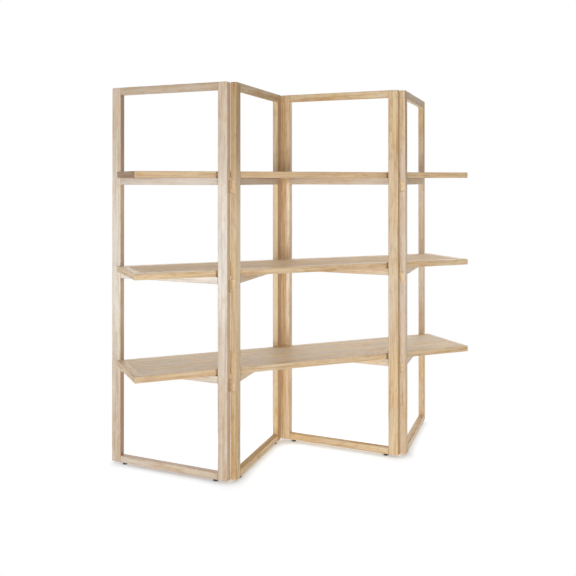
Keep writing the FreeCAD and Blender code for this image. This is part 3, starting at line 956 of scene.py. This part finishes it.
class EtagereScrewsOperator(bpy.types.Operator):
    """Sets the hinge screws into every leaf"""

    bl_idname = "etagere.screws"
    bl_label = "Hinge Screws"

    def execute(self, context):
        hardware = context.scene.etagere_hardware
        tree = screw_tree(brass_finish("screw_brass", hardware))
        sizes = {
            "Diameter": hardware.screw_diameter,
            "Height": hardware.screw_height,
            "Slot": hardware.screw_slot,
            "Spacing": hardware.screw_spacing,
            "Stagger": hardware.screw_stagger,
            "Seed": hardware.screw_seed,
        }
        inputs = [item for item in tree.interface.items_tree if item.in_out == "INPUT"]
        sockets = {item.name: item.identifier for item in inputs}
        for side in FRAMES:
            body = f"{side}_frame"
            carrier = leaf_points(f"{side}_leaf_points", leaf_seats(body, hardware))
            screws = carrier.modifiers.new("screws", "NODES")
            screws.node_group = tree
            for label, value in sizes.items():
                screws[sockets[label]] = value
            piece = bake(f"{side}_hinge_screws", carrier)
            if not piece.data.polygons:
                raise RuntimeError(f"{side} frame got no hinge screws")
            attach(piece, body)
        return {"FINISHED"}


class EtagereGlidesOperator(bpy.types.Operator):
    """Finishes the floor glides"""

    bl_idname = "etagere.glides"
    bl_label = "Glides"

    def execute(self, context):
        plastic = glide_finish("glide_plastic", context.scene.etagere_hardware)
        for side in FRAMES:
            dress(f"{side}_glides", plastic)
        return {"FINISHED"}


def floor_finish(name, stage):
    """Pale floor that keeps the lamps' shadow near the object, with a painted contact shadow in its glow,
    and fades to white further out.
    """
    finish, bench = new_material(name)
    seen = bench.seen()
    place = bench.add("ShaderNodeTexCoord").outputs["Object"]
    flat = bench.add("ShaderNodeVectorMath", {0: place, 1: stage.floor_reach}, operation="DIVIDE")
    far = bench.add("ShaderNodeVectorMath", {0: flat.outputs[0]}, operation="LENGTH").outputs["Value"]
    fade = bench.math("MULTIPLY", bench.spread(far, *FLOOR_FADE_SPAN), seen)
    speck = bench.noise(place, FLOOR_SPECK, *FLOOR_SPECK_NOISE)
    specked = bench.math("MULTIPLY", speck, FLOOR_SPECK_SHARE)
    tone = bench.mix(specked, stage.floor_colour, FLOOR_SPECK_TONE)
    matt = bench.add("ShaderNodeBsdfDiffuse", {"Color": tone})
    # Painted contact shadow: ambient occlusion darkens the glow that the camera sees near the object.
    near = bench.add(
        "ShaderNodeAmbientOcclusion", {"Distance": stage.painted_shadow_reach}, samples=PAINTED_SHADOW_SAMPLES
    ).outputs["AO"]
    shaded = stage.floor_glow * (1.0 - stage.floor_painted_shadow)
    clear = bench.spread(near, *PAINTED_SHADOW_SPAN, shaded, stage.floor_glow)
    # Other rays see the floor glow as painted bounce light; the camera sees the glow with its painted
    # contact shadow.
    shine = bench.add("ShaderNodeMix", {0: seen, 2: stage.floor_bounce, 3: clear}, data_type="FLOAT")
    glow = bench.add("ShaderNodeEmission", {"Strength": shine.outputs[0]})
    lit = bench.add("ShaderNodeAddShader", {0: matt.outputs[0], 1: glow.outputs[0]})
    white = bench.add("ShaderNodeEmission", {"Strength": 1.0})
    both = bench.add("ShaderNodeMixShader", {0: fade, 1: lit.outputs[0], 2: white.outputs[0]})
    bench.add("ShaderNodeOutputMaterial", {"Surface": both.outputs[0]})
    return finish


def studio_floor(name, stage):
    """A broad flat floor."""
    mesh = bpy.data.meshes.new(name)
    corners = [(x * FLOOR_HALF, y * FLOOR_HALF, 0.0) for x, y in ((-1, -1), (1, -1), (1, 1), (-1, 1))]
    mesh.from_pydata(corners, [], [range(len(corners))])
    mesh.materials.append(floor_finish(name, stage))
    return put(name, mesh)


def studio_white(name, stage):
    """A background that is white to look at and lights the object softly from all round."""
    world = bpy.data.worlds.new(name)
    world.use_nodes = True
    world.node_tree.nodes.clear()
    bench = NodeBench(world.node_tree)
    light = bench.add("ShaderNodeBackground", {
        "Color": WHITE, "Strength": bench.spread(bench.seen(), 0.0, 1.0, stage.dome, 1.0),
    })
    bench.add("ShaderNodeOutputWorld", {"Surface": light.outputs[0]})
    return world


def soft_box(name, box, stage):
    """An area lamp that the camera does not see."""
    lamp = bpy.data.lights.new(name, "AREA")
    lamp.shape = "RECTANGLE"
    lamp.size, lamp.size_y = box.size
    lamp.energy = getattr(stage, box.power)
    stand = put(name, lamp)
    stand.location = box.place
    stand.rotation_euler = (Vector(box.aim) - Vector(box.place)).to_track_quat("-Z", "Y").to_euler()
    stand.visible_camera = False
    return stand


def photo_camera(name, stage):
    """The camera of the main view."""
    eye = bpy.data.cameras.new(name)
    eye.lens = stage.camera_lens
    eye.sensor_width = SENSOR_WIDTH
    eye.shift_x, eye.shift_y = stage.camera_shift
    camera = put(name, eye)
    camera.location = stage.camera_place
    camera.rotation_euler = stage.camera_turn
    return camera


class EtagereStageOperator(bpy.types.Operator):
    """Builds the floor, the soft light, the white background and the camera"""

    bl_idname = "etagere.stage"
    bl_label = "Stage"

    def execute(self, context):
        scene = context.scene
        stage = scene.etagere_stage
        scene.view_settings.view_transform = "Standard"
        floor = studio_floor("studio_floor", stage)
        scene.world = studio_white("studio_white", stage)
        for name, box in SOFT_BOXES.items():
            soft_box(name, box, stage)
        card = soft_box("sheen_card", SHEEN_CARD, stage)
        card.visible_diffuse = False
        card.data.color = stage.sheen_tint
        scene.camera = photo_camera("photo_camera", stage)
        return {"FINISHED"}


OPERATORS = (
    EtagereFramesOperator,
    EtagereShelvesOperator,
    EtagereHingesOperator,
    EtagereScrewsOperator,
    EtagereGlidesOperator,
    EtagereStageOperator,
)
SETTINGS = {
    "etagere_oak": EtagereOak,
    "etagere_hardware": EtagereHardware,
    "etagere_stage": EtagereStage,
}


class EtagerePanel(bpy.types.Panel):
    """Lists the etagere's pieces and what may be changed on them"""

    bl_idname = "VIEW3D_PT_etagere"
    bl_label = "Folding Etagere"
    bl_space_type = "VIEW_3D"
    bl_region_type = "UI"
    bl_category = "Etagere"

    def draw(self, context):
        for operator in OPERATORS:
            self.layout.operator(operator.bl_idname)
        for group in SETTINGS:
            box = self.layout.box()
            settings = getattr(context.scene, group)
            for name in settings.__annotations__:
                box.prop(settings, name)


CLASSES = (*SETTINGS.values(), *OPERATORS, EtagerePanel)


def register():
    for item in CLASSES:
        bpy.utils.register_class(item)
    for name, group in SETTINGS.items():
        setattr(bpy.types.Scene, name, bpy.props.PointerProperty(type=group))


def unregister():
    for name in SETTINGS:
        delattr(bpy.types.Scene, name)
    for item in reversed(CLASSES):
        bpy.utils.unregister_class(item)


def main():
    register()
    for operator in OPERATORS:
        group, name = operator.bl_idname.split(".")
        getattr(getattr(bpy.ops, group), name)()


if __name__ == "__main__":
    main()
